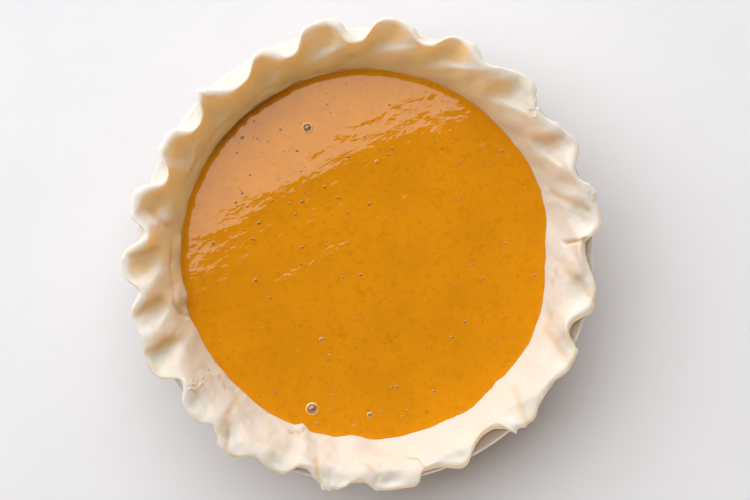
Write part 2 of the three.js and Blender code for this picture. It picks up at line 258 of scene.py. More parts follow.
class PastrySizes(bpy.types.PropertyGroup):
    """Sizes and colours of the pastry case."""
    crest: length("Crest", "Height of the rim's crest at the notches", top_of("crust"))
    tip_drop: length("Tip drop", "How much lower the crest runs at a tip than at a notch", 1.0)
    inset: length("Inset", "Thickness of the case on the dish's wall", 5.2)
    floor: length("Floor", "Height of the pastry's upper face in the middle", 8.8)
    floor_corner: length("Floor corner", "Radius from the floor to the inner face", 10)
    lip_thickness: length("Lip thickness", "Thickness of the rounded lip", 4.8)
    lip_least: length("Least lip", "The least that the lip is thick", 3.6)
    lip_half_height: length("Lip half height", "Half the height of the rounded lip", 2.7)
    lip_lead: angle("Lip lead", "Turn between the lip's inner and outer edges", 1.5)
    slant: angle("Slant", "Mean turn of the flutes between the rim and the custard", 4.5)
    slant_varies: angle("Slant varies", "How much more or less the flutes turn round the rim", 8)
    slant_most_at: angle("Slant most at", "Where round the rim the flutes turn most", 60)
    turn_power: number("Turn power", "Over 1, the turn is slow at the lip and faster at the custard", 1.7)
    notch_slope: length("Notch slope", "How far the lip leans in at a notch", 4.0)
    notch_slope_varies: length("Notch slope varies", "How much more or less it leans round the rim", 2.0)
    notch_slope_most_at: angle("Notch slope most at", "Where round the rim it leans most", 120)
    bend_share: number("Bend share", "Where the inner face bends, from the wall's line to the crest", 0.35)
    ridge_fall: length("Ridge fall", "How far a ridge falls from the crest to the bend", 0.5)
    knee_drop: length("Knee drop", "From the bend down to the knee of the inner face on a ridge", 3.5)
    cup_knee_rise: length("Cup knee rise", "How much nearer the bend's height the knee is in a cup", 2)
    rolls: length("Rolls", "Height of the broad unevenness of the dough", 0.35)
    dimples: length("Dimples", "Height of the finger-sized unevenness", 0.09)
    grain: length("Grain", "Height of the finest relief in the mesh", 0.03)
    # Painted shade: back shade and cup shade set how much of the butter colour, a tan, the rim's back and
    # the cups on the window's side take. The butter colour tints all the painted shade on the dough, and
    # darkened, its stains and specks too.
    back_shade: number("Back shade", "How much of the tan tint the back of the rim takes", 0.25)
    cup_shade: number("Cup shade", "How much of the tan tint the cups on the window's side take", 0.9)
    dough: colour("Dough", "Colour of the floury dough of the rim", 0.80, 0.76, 0.69)
    # The inside colour is painted shade: the whole inner face is darker and warmer than the rim.
    inside: colour("Inside", "Colour of the moister dough of the inner face", 0.79, 0.71, 0.615)
    butter: colour("Butter", "Colour of the dough where stained or turned from the light", 0.98, 0.64, 0.27)


class CustardSizes(bpy.types.PropertyGroup):
    """Sizes and colours of the custard and its bubbles."""
    level: length("Level", "Height of the custard's flat surface", top_of("filling"))
    bite: length("Bite", "How far its edge reaches into the pastry's face", 1.0)
    meniscus: length("Meniscus", "How high its edge climbs the pastry on the side towards the window", 0.7)
    meniscus_width: length("Meniscus width", "How far from the edge it starts to climb", 3.3)
    ripples: length("Ripples", "Height of the still ripples left by pouring", 0.014)
    shadow: colour("Shadow", "Colour of the custard's edge under the pastry's shadow", 0.33, 0.11, 0.006)
    colour: colour("Custard", "Colour of the custard", 0.85, 0.31, 0.0065)
    spice: colour("Spice", "Colour of the specks of spice", 0.36, 0.10, 0.003)
    # The film's dark colour is painted shade of the hollow under it, and the ring colour painted light.
    film: colour("Bubble film", "Colour of a bubble's film", 0.30, 0.11, 0.03)
    ring: colour("Bubble ring", "Colour of the raised ring round a bubble", 0.92, 0.50, 0.12)
    pinholes: IntProperty(name="Pinholes", description="Number of tiny bubbles in the custard", default=170)


class StageSizes(bpy.types.PropertyGroup):
    """The floor, the lights and the camera."""
    floor: colour("Floor", "Colour of the plain pale floor", 0.91, 0.91, 0.93)
    floor_half: length("Floor half", "Half the width of the floor", 1600)
    window_azimuth: angle("Window azimuth", "Where round the pie the soft window light stands", 120)
    window_tilt: angle("Window tilt", "How far off the vertical it stands", 38.5)
    window_distance: length("Window distance", "From the custard to the middle of the window", 1200)
    window_width: length("Window width", "Width of the window", 2000)
    window_height: length("Window height", "Height of the window", 1597)
    window_light: number("Window light", "Radiance of the window", 1.50)
    bounce_tilt: angle("Bounce tilt", "How far off the vertical the reflector opposite stands", 83.5)
    bounce_distance: length("Bounce distance", "From the custard to the middle of the reflector", 1200)
    bounce_width: length("Bounce width", "Width of the reflector", 2200)
    bounce_height: length("Bounce height", "Height of the reflector", 200)
    bounce_light: number("Bounce light", "Radiance of the reflector", 7.2)
    bounce_colour: colour("Bounce colour", "Colour of the reflector's light", 1.0, 0.85, 0.69)
    sky_top: number("Sky overhead", "Radiance of the room right overhead", 0.06)
    sky_side: number("Sky at the side", "Radiance of the room at the height of the table", 1.30)
    sky_dark: number("Sky opposite", "Share of that radiance that the side opposite the window has", 0.02)
    camera_x: length("Camera x", "Where the camera stands over the pie, across", 5.41)
    camera_y: length("Camera y", "Where the camera stands over the pie, along", 2.73)
    camera_height: length("Camera height", "Height of the camera above the dish's rim", 800)
    view_width: length("View width", "Width seen at the height of the dish's rim", 409.8)


GROUPS = {
    "pie_dish": DishSizes,
    "pie_pastry": PastrySizes,
    "pie_custard": CustardSizes,
    "pie_stage": StageSizes,
}


def own_keys(group):
    """Names of the properties that a group adds to those that every group has."""
    return [key for key in group.bl_rna.properties.keys() if key not in ("rna_type", "name")]


def sizes(name):
    """A property group's values with its lengths in millimetres."""
    group = getattr(bpy.context.scene, name)
    values = {}
    for key in own_keys(group):
        value = getattr(group, key)
        if group.bl_rna.properties[key].unit == "LENGTH":
            value = value / MM
        elif not isinstance(value, (int, float)):
            value = tuple(value)
        values[key] = value
    return SimpleNamespace(**values)


# ------------------------------------------------------------ shapes in numpy

def ease(x):
    """Rises smoothly from 0 to 1 as x does."""
    x = np.clip(x, 0, 1)
    return x * x * (3 - 2 * x)


def apart(degrees, at):
    """Degrees from one angle to others, between -180 and 180."""
    return (degrees - at + 180) % 360 - 180


def sum_of_swells(degrees, swells):
    """Adds up smooth swells, each its height at its angle and nothing from its half width on."""
    total = 0
    for at, half, height in swells:
        total = total + height * ease(1 - np.abs(apart(degrees, at)) / half)
    return total


def rolls(points, size, seed, waves=40):
    """Soft noise of unit strength: the sum of cosine waves that run in random directions with lengths near a
    size."""
    draw = np.random.default_rng(seed)
    way = draw.normal(size=(waves, 3))
    way /= np.linalg.norm(way, axis=1)[:, None]
    way *= 2 * pi / (size * draw.uniform(*WAVE_LENGTHS, waves))[:, None]
    return np.cos(points @ way.T + draw.uniform(0, 2 * pi, waves)).sum(-1) * (2 / waves) ** 0.5


def arc(centre, radius, first, last, steps):
    """Points from angle first to angle last of a circle in the plane of radius and height."""
    a = np.radians(np.linspace(first, last, steps + 1))
    return np.stack([centre[0] + radius * np.cos(a), centre[1] + radius * np.sin(a)], -1)


def evenly(profile, step):
    """The same profile with a point about every step along it."""
    run = np.concatenate([[0], np.cumsum(np.linalg.norm(np.diff(profile, axis=0), axis=1))])
    at = np.linspace(0, run[-1], ceil(run[-1] / step) + 1)
    return np.stack([np.interp(at, run, profile[:, k]) for k in (0, 1)], -1)


def around(radius, height, turn):
    """Points of a skin from each row's radius, height and angle."""
    a = np.radians(turn)
    return np.stack([radius * np.cos(a), radius * np.sin(a), height + 0 * a], -1)


def outward(skin):
    """Unit normals of a skin: along the rows crossed with round the columns."""
    round_it = np.roll(skin, -1, 1) - np.roll(skin, 1, 1)
    normal = np.cross(np.gradient(skin, axis=0), round_it)
    return normal / np.maximum(np.linalg.norm(normal, axis=-1, keepdims=True), TINY)


def soften(field, times, first=1, last=-1):
    """Evens out a skin, or a value on it, between two rows: each point moves part of the way to the mean of
    its neighbours round the skin, and then to the mean of those along it."""
    across, down = 0.5, 0.4
    last = last % len(field)
    for _ in range(times):
        beside = (np.roll(field, 1, 1) + np.roll(field, -1, 1)) / 2
        field[first:last] = (1 - across) * field[first:last] + across * beside[first:last]
        along = (field[first - 1:last - 1] + field[first + 1:last + 1]) / 2
        field[first:last] = (1 - down) * field[first:last] + down * along
    return field


def polar(degrees, radius):
    """Plan coordinates of an angle and a radius."""
    a = np.radians(degrees)
    return np.stack([radius * np.cos(a), radius * np.sin(a)], -1)


def path_distance(plan, corners):
    """Distance in plan from each point to a path: the least of the distances to its straight pieces."""
    route = polar(*np.array(corners, float).T)
    best = np.linalg.norm(plan - route[0], axis=-1)
    for start, end in zip(route[:-1], route[1:]):
        way = end - start
        share = np.clip(((plan - start) @ way) / (way @ way), 0, 1)[..., None]
        best = np.minimum(best, np.linalg.norm(plan - start - share * way, axis=-1))
    return best


# ------------------------------------------------------------ meshes

def skin_faces(rows, columns):
    """Faces of a skin whose first and last rows are one point each: fans at both ends and quads between."""
    ring = 1 + np.arange((rows - 2) * columns).reshape(rows - 2, columns)
    end = 1 + (rows - 2) * columns
    beside = np.roll(ring, -1, 1)
    quads = np.stack([ring[:-1], ring[1:], beside[1:], beside[:-1]], -1).reshape(-1, 4)
    top = np.stack([0 * ring[0], ring[0], beside[0]], -1)
    bottom = np.stack([0 * ring[-1] + end, beside[-1], ring[-1]], -1)
    return top.tolist() + quads.tolist() + bottom.tolist()


def skin_points(skin):
    """Points of a skin with its first and last rows drawn together."""
    flat = skin[1:-1].reshape(-1, skin.shape[-1])
    return np.concatenate([skin[0].mean(0)[None], flat, skin[-1].mean(0)[None]])


def put_in_scene(name, data):
    """A new object at the origin that shows a mesh, a light or a camera."""
    thing = bpy.data.objects.new(name, data)
    bpy.context.scene.collection.objects.link(thing)
    return thing


def make_piece(name, points, faces, fields, material, slot, *nodes):
    """A smooth mesh object in metres, with numbers kept on its points, that rides on the part's one body and
    stands for the given nodes."""
    mesh = bpy.data.meshes.new(name)
    mesh.from_pydata((points * MM).tolist(), [], faces)
    mesh.validate()
    mesh.shade_smooth()
    for key, values in fields.items():
        field = mesh.attributes.new(key, "FLOAT", "POINT")
        field.data.foreach_set("value", np.ravel(values).astype(np.float32))
    mesh.materials.append(material)
    piece = put_in_scene(name, mesh)
    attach(piece, "root")
    if nodes:
        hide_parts(*nodes)


def make_skin(name, skin, fields, material, slot, *nodes):
    """The piece that a skin and its fields make."""
    fields = {key: skin_points(values[..., None]) for key, values in fields.items()}
    make_piece(name, skin_points(skin), skin_faces(*skin.shape[:2]), fields, material, slot, *nodes)


# ------------------------------------------------------------ materials

class Amount:
    """A number that varies over a surface. Sums on it add Math nodes to its finish."""

    def __init__(self, finish, socket):
        self.finish = finish
        self.socket = socket

    def math(self, operation, *values):
        node = self.finish.add("ShaderNodeMath", {"operation": operation}, dict(enumerate(values)))
        return Amount(self.finish, node.outputs[0])

    def __add__(self, other):
        return self.math("ADD", self, other)

    def __rsub__(self, other):
        return self.math("SUBTRACT", other, self)

    def __mul__(self, other):
        return self.math("MULTIPLY", self, other)

    def __lt__(self, other):
        return self.math("LESS_THAN", self, other)

    __radd__ = __add__
    __rmul__ = __mul__

    def between(self, low, high):
        """Runs evenly from low where this is 0 to high where it is 1."""
        return low + self * (high - low)

    def within(self, low, high):
        """Rises smoothly from 0 at low to 1 at high."""
        inputs = {"Value": self, "From Min": low, "From Max": high}
        node = self.finish.add("ShaderNodeMapRange", {"interpolation_type": "SMOOTHSTEP"}, inputs)
        return Amount(self.finish, node.outputs["Result"])


class Finish:
    """A node tree under construction, with the one method that adds a node to it."""

    def __init__(self, tree):
        self.tree = tree

    def add(self, kind, settings=None, inputs=None):
        """Adds a node of a kind with its settings, and then the values or links of its sockets."""
        node = self.tree.nodes.new(kind)
        for key, value in (settings or {}).items():
            setattr(node, key, value)
        return self.feed(node, inputs or {})

    def feed(self, node, inputs):
        """Gives each named socket of a node a link or a plain value."""
        for key, value in inputs.items():
            socket, value = node.inputs[key], getattr(value, "socket", value)
            if isinstance(value, bpy.types.NodeSocket):
                self.tree.links.new(value, socket)
            elif isinstance(value, (tuple, list)) and socket.type == "RGBA" and len(value) == 3:
                socket.default_value = (*value, 1)
            else:
                socket.default_value = value
        return node

    def place(self, stretch=(1, 1, 1), turn=0):
        """The object's own coordinates, turned by an angle round the upright axis and then stretched."""
        place = self.add("ShaderNodeTexCoord").outputs["Object"]
        for change in ({"Rotation": (0, 0, radians(turn))}, {"Scale": stretch}):
            place = self.add("ShaderNodeMapping", {}, {"Vector": place} | change).outputs[0]
        return place

    def noise(self, millimetres, detail=2.0, rough=0.5, place=None):
        """Soft noise from 0 to 1 with spots of about a size."""
        inputs = {"Vector": place or self.place(), "Scale": 1 / (millimetres * MM)}
        node = self.add("ShaderNodeTexNoise", {}, inputs | {"Detail": detail, "Roughness": rough})
        return Amount(self, node.outputs["Fac"])

    def specks(self, millimetres, share, size):
        """Round specks, 1 inside a speck and 0 elsewhere, in a share of the cells of a loose grid. Size is
        the largest speck's radius as a share of a cell."""
        inputs = {"Vector": self.place(), "Scale": 1 / (millimetres * MM)}
        cell = self.add("ShaderNodeTexVoronoi", {}, inputs)
        draw = self.add("ShaderNodeSeparateColor", {}, {"Color": cell.outputs["Color"]})
        chosen = Amount(self, draw.outputs[0]) < share
        reach = Amount(self, draw.outputs[1]) * size
        near = Amount(self, cell.outputs["Distance"]) < reach
        return chosen * near

    def field(self, name):
        """A number kept on the mesh."""
        node = self.add("ShaderNodeAttribute", {"attribute_name": name})
        return Amount(self, node.outputs["Fac"])

    def mix(self, share, first, second):
        """A colour between two."""
        node = self.add("ShaderNodeMix", {"data_type": "RGBA"}, {0: share, 6: first, 7: second})
        return node.outputs[2]

    def bump(self, height, millimetres):
        """A normal from a height of 0 to 1 that stands for a distance."""
        inputs = {"Height": height, "Distance": millimetres * MM, "Strength": 1.0}
        return self.add("ShaderNodeBump", {}, inputs).outputs["Normal"]


def new_material(name, constants):
    """A material with its shader's constants set, and its finish and shader to build on."""
    material = bpy.data.materials.new(name)
    material.use_nodes = True
    finish = Finish(material.node_tree)
    shader = material.node_tree.nodes["Principled BSDF"]
    return material, finish, finish.feed(shader, constants)


def scaled(colour, by):
    """A colour made darker or lighter."""
    return tuple(by * part for part in colour)


def glaze_material(dish):
    """Clear gloss over off-white clay, with iron specks, thin and warm along the rim's edge, with painted
    contact shadow on the rim next to the pastry, and a bare foot."""
    material, finish, shader = new_material("off_white_glaze", {"IOR": 1.5})
    cloudy, contact_shadow_strength, speckled, bump = 0.35, 0.85, 0.55, 0.12
    cloud_shade, pale_clay, bare_roughness, swells = 0.93, 1.35, 0.55, 0.6
    cloud = finish.noise(38, detail=3)
    bare = finish.field("bare")
    specks = finish.specks(4.0, share=0.22, size=0.13)
    worn = finish.field("thin") * finish.noise(6, detail=3).between(0.1, 0.4)
    tint = finish.mix(cloud.within(0.35, 0.75) * cloudy, dish.glaze, scaled(dish.glaze, cloud_shade))
    tint = finish.mix(finish.field("outer"), tint, dish.outside)
    tint = finish.mix(worn.within(0.0, 1.0), tint, dish.clay)
    # Painted contact shadow on the rim next to the pastry.
    tint = finish.mix(finish.field("grease") * contact_shadow_strength, tint, dish.grease)
    tint = finish.mix(specks * speckled, tint, dish.clay)
    clay = finish.mix(finish.noise(1.2, detail=4, rough=0.7), scaled(dish.clay, pale_clay), dish.clay)
    height = finish.noise(7, detail=3, rough=0.55) * swells + finish.noise(0.6, detail=2) * bare
    finish.feed(shader, {
        "Base Color": finish.mix(bare, tint, clay),
        "Roughness": finish.noise(9, detail=3).between(0.16, 0.26) + bare * bare_roughness,
        "Normal": finish.bump(height, bump),
    })
    return material


def dough_material(pastry, name, glow):
    """Raw buttery dough: matt, faintly mottled, with a floury grain. Its inner face is darker and warmer
    as painted shade, and it turns tan as painted shade where it looks away from the window, in its cups,
    creases and hollows, under the lip and at the foot. It is tan in stains too. Light glows through a
    depth of it, in millimetres."""
    material, finish, shader = new_material(name, {
        "Subsurface Weight": 1.0,
        "Subsurface Scale": glow * MM,
        "Subsurface Radius": (1.0, 0.75, 0.5),
        "Specular IOR Level": 0.32,
    })
    speckled, yellowing, shade_and_stain_darkness, bump = 0.22, (0.985, 0.955, 0.87), 0.72, 0.16
    mottle = finish.noise(7, detail=4, rough=0.6)
    grain = finish.noise(1.6, detail=4, rough=0.7)
    yellowed = tuple(part * share for part, share in zip(pastry.dough, yellowing))
    dark = scaled(pastry.butter, shade_and_stain_darkness)
    tint = finish.mix(mottle.within(0.42, 0.70), pastry.dough, yellowed)
    # Painted shade: the inner face darker and warmer than the rim.
    tint = finish.mix(finish.field("inner") * mottle.between(0.8, 1.2), tint, pastry.inside)
    # Painted shade: tan where the skin looks away from the window or lies behind a crest, and in cups.
    tint = finish.mix(finish.field("shade") * mottle.between(0.85, 1.15), tint, pastry.butter)
    # Darker tint: painted shade under the lip, at the foot, in creases, hollows and some streaks, and an
    # even tint on the lip's outer half and in the other streaks.
    tint = finish.mix(finish.field("stain") * grain.between(0.6, 1.2), tint, dark)
    tint = finish.mix(finish.specks(3.2, share=0.08, size=0.14) * speckled, tint, dark)
    coarse, fine = finish.noise(3.0, detail=3, rough=0.55), finish.noise(0.5, detail=2)
    height = coarse * 0.5 + grain * 0.35 + fine * 0.15
    finish.feed(shader, {
        "Base Color": tint,
        "Roughness": grain.between(0.46, 0.68),
        "Normal": finish.bump(height, bump),
    })
    return material


def custard_material(custard):
    """Wet smooth custard: a clear gloss over deep orange, clouded, spotted and finely specked with spice,
    darker in the rim's shadow, with still ripples drawn out along one way."""
    material, finish, shader = new_material("wet_custard", {"IOR": 1.72, "Roughness": 0.02})
    cloudy, spotted, dusty, speckled, shadowed = 0.4, 0.75, 0.28, 0.75, 0.9
    cloud_shade, streak_height, speck_height, bump = 0.80, 0.9, 0.05, 0.050
    cloud = finish.noise(30, detail=3)
    spots = finish.noise(3.6, detail=3, rough=0.65)
    dust = finish.noise(1.1, detail=3, rough=0.75)
    specks = finish.specks(2.8, share=0.30, size=0.16)
    darker = scaled(custard.colour, cloud_shade)
    tint = finish.mix(cloud.within(0.3, 0.7) * cloudy, custard.colour, darker)
    tint = finish.mix(spots.within(0.48, 0.72) * spotted, tint, darker)
    tint = finish.mix(dust.within(0.54, 0.80) * dusty, tint, custard.spice)
    tint = finish.mix(specks * speckled, tint, custard.spice)
    tint = finish.mix(finish.field("shadow") * shadowed, tint, custard.shadow)
    stretch, turn = (0.6, 1.1, 1), -25
    streaks = finish.noise(3.4, detail=1.6, rough=0.5, place=finish.place(stretch, turn))
    height = streaks * streak_height + specks * speck_height
    finish.feed(shader, {"Base Color": tint, "Normal": finish.bump(height, bump)})
    return material


def bubble_material(custard):
    """A thin wet film, its dark colour painted shade of the hollow under it, with painted light on the ring
    that the custard draws up round it and on the film's side away from the window.
    """
    material, finish, shader = new_material("bubble_film", {"IOR": 2.2, "Roughness": 0.05})
    cloudy, cloud_shade = 0.5, 0.7
    cloud = finish.noise(0.8, detail=2)
    film = finish.mix(cloud.within(0.3, 0.8) * cloudy, custard.film, scaled(custard.film, cloud_shade))
    # Painted light: paler on the ring and on the film's side away from the window.
    finish.feed(shader, {"Base Color": finish.mix(finish.field("ring"), film, custard.ring)})
    return material


def floor_material(stage):
    """Plain pale plaster with the faintest clouds."""
    material, finish, shader = new_material("pale_plaster", {"Roughness": 0.75, "Specular IOR Level": 0.25})
    cloudy, cloud_shade, bump = 0.5, 0.955, 0.3
    clouds = finish.noise(90, detail=5, rough=0.6)
    tint = finish.mix(clouds.within(0.35, 0.7) * cloudy, stage.floor, scaled(stage.floor, cloud_shade))
    height = finish.noise(14, detail=5, rough=0.6)
    finish.feed(shader, {"Base Color": tint, "Normal": finish.bump(height, bump)})
    return material


# ------------------------------------------------------------ the dish

def dish_wall(dish, height):
    """Radius of the dish's inner face, a straight line that leans out to the mouth radius at the rim."""
    return dish.mouth_radius - (dish.height - height) * tan(dish.wall_lean)


def dish_profile(dish):
    """Radius and height from the middle of the inside, over the flat rim, to the middle of the underside:
    straight stretches joined by arcs."""
    lean = dish.wall_lean
    lean_degrees = np.degrees(lean)
    inner = dish.corner_radius
    corner_z = dish.base_thickness + inner
    corner_r = dish_wall(dish, corner_z) - inner / cos(lean)
    shoulder = dish.shoulder_radius
    shoulder_z = dish.height - shoulder
    shoulder_r = dish_wall(dish, shoulder_z) + shoulder / cos(lean)
    half = dish.rim_thickness / 2
    edge_r = dish.rim_radius - half
    outside = dish.wall_thickness / cos(lean)
    under = dish.under_rim_radius
    under_z = dish.height - dish.rim_thickness - under
    under_r = dish_wall(dish, under_z) + outside + under / cos(lean)
    heel = dish.heel_radius
    heel_r = dish_wall(dish, heel) + outside - heel / cos(lean)
    return np.concatenate([
        [(0, dish.base_thickness)],
        arc((corner_r, corner_z), inner, -90, -lean_degrees, steps=10),
        arc((shoulder_r, shoulder_z), shoulder, 180 - lean_degrees, 90, steps=8),
        arc((edge_r, dish.height - half), half, 90, -90, steps=14),
        arc((under_r, under_z), under, 90, 180 - lean_degrees, steps=6),
        arc((heel_r, heel), heel, -lean_degrees, -90, steps=8),
        [(0, 0)],
    ])


def build_dish(dish, stage):
    """The dish's skin: its profile in even steps, carried round the axis. Faint rings run round the outer
    wall, a sine of the height, and the glaze is a little uneven. The rim takes a painted contact shadow
    next to the pastry, away from the window. Returns the points and the glaze's fields."""
    step = 1.5
    profile = evenly(dish_profile(dish), step)
    columns = np.arange(0, 360, 1.0)
    skin = around(profile[:, :1], profile[:, 1:], columns[None] + 0 * profile[:, :1])
    heading = outward(skin)
    radius, height = profile.T
    all_round = 0 * columns

    lowest, highest, fade, ring_length, unevenness = 3, 38, 6, 6.5, 0.5
    band = ease((height[:, None] - lowest) / fade) * ease((highest - height[:, None]) / fade)
    rings = np.sin(2 * pi * height / ring_length)[:, None] + unevenness * rolls(skin, 9, seed=11)
    rim = (height > dish.height - 1) * (radius > dish.mouth_radius)
    glaze_swell, most_upward = 0.06, 0.2
    relief = dish.throwing_depth * rings * (band * (heading[..., 2] < most_upward))
    relief = relief + glaze_swell * rolls(skin, 14, seed=12) * rim[:, None]
    skin = skin + heading * relief[..., None]

    thin_at, thin_width = 1.2, 2.6
    middle_of_rim = dish.height - dish.rim_thickness / 2
    edge = np.hypot(radius - (dish.rim_radius - thin_at), height - middle_of_rim)
    foot_from, foot_to, foot_blur = 66.0, 90.0, 1.5
    foot = (height < 1.0) * ease((radius - foot_from) / foot_blur) * ease((foot_to - radius) / foot_blur)
    rim_blur, past_inner_face = 2, 1
    under_rim = ease((dish.height - dish.rim_thickness + rim_blur / 2 - height) / rim_blur)
    wall = under_rim * (radius > dish_wall(dish, height) + past_inner_face)
    # Painted contact shadow: on the rim within a few millimetres of the pastry, away from the window.
    contact_shadow_from, contact_shadow_width = -2, 3.8
    past_pastry = radius[:, None] - outline(columns)[0]
    grease = ease(1 - (past_pastry - contact_shadow_from) / contact_shadow_width) * away_from_window(columns, stage)
    return skin, {
        "thin": ease(1 - edge / thin_width)[:, None] + all_round,
        "bare": foot[:, None] + all_round,
        "outer": wall[:, None] + all_round,
        "grease": grease * rim[:, None],
    }


# ------------------------------------------------------------ the pastry case

def flute_at(degrees):
    """For each angle its flute's row in FLUTES, its share of the way from the notch (0) to the tip (1), and
    whether it lies clockwise of the tip."""
    turns = np.ravel(FLUTES[:, [0, 2]])
    turns = np.concatenate([[turns[-1] - 360], turns, turns[:2] + 360])
    along = np.mod(degrees, 360)
    along = np.where(along < turns[0], along + 360, along)
    along = np.where(along >= turns[-1], along - 360, along)
    index = np.clip(np.searchsorted(turns, along, side="right") - 1, 0, len(turns) - 2)
    share = (along - turns[index]) / (turns[index + 1] - turns[index])
    clockwise = index % 2 == 0
    tip = np.where(clockwise, index + 1, index)
    return ((tip - 1) // 2) % len(FLUTES), np.where(clockwise, share, 1 - share), clockwise


def outline(degrees):
    """How far the rim reaches, and its share of a tip: a smooth step from each notch to each tip, flat for a
    short way at both, with the nips of the edge added."""
    notch_flat = 0.12
    flute, share, clockwise = flute_at(degrees)
    share = ease((share - notch_flat) / (1 - notch_flat - FLUTES[flute, 4]))
    before = FLUTES[flute - 1, 3]
    low = np.where(clockwise, before, FLUTES[flute, 3])
    reach = low + (FLUTES[flute, 1] - low) * share
    return reach + sum_of_swells(degrees, EDGE_NIPS), share


def cup(degrees):
    """Share of a cup, 0 on a ridge and 1 at its deepest, and its depth: it falls smoothly all the way from
    the notch clockwise of the tip, and rises again within the cup's edge anticlockwise of it."""
    full_at = 0.85
    flute, share, clockwise = flute_at(degrees)
    past_tip = np.abs(apart(degrees, FLUTES[flute, 0]))
    share = np.where(clockwise, ease(share / full_at), ease(1 - past_tip / FLUTES[flute, 6]))
    return share, share * FLUTES[flute, 5]


def slant(pastry, degrees):
    """Degrees that a flute turns between the rim and the custard: a mean and a cosine round the rim."""
    swing = np.cos(np.radians(degrees) - pastry.slant_most_at)
    return np.degrees(pastry.slant + pastry.slant_varies * swing)


def rounded(corners, steps):
    """Points of a path with four corners, without its last: straight from the first to the middle of the
    first stretch, quadratic arcs round the second and third from middle to middle, and straight on."""
    shares = np.array([0, 0.16, 0.5, 0.84, 1])
    middles = [(a + b) / 2 for a, b in zip(corners, corners[1:])]
    stops = [corners[0], *middles, corners[-1]]
    pulls = [(corners[0] + middles[0]) / 2, corners[1], corners[2], (middles[2] + corners[3]) / 2]
    ends = np.round(shares * steps).astype(int)
    for start, pull, stop, first, last in zip(stops, pulls, stops[1:], ends, ends[1:]):
        for t in np.arange(last - first) / (last - first):
            yield (1 - t) ** 2 * start + 2 * t * (1 - t) * pull + t * t * stop


def case_wall(dish, pastry, height):
    """Radius of the case's inner face below the custard: the dish's less the case's thickness, level."""
    return dish_wall(dish, height) - pastry.inset / cos(dish.wall_lean)


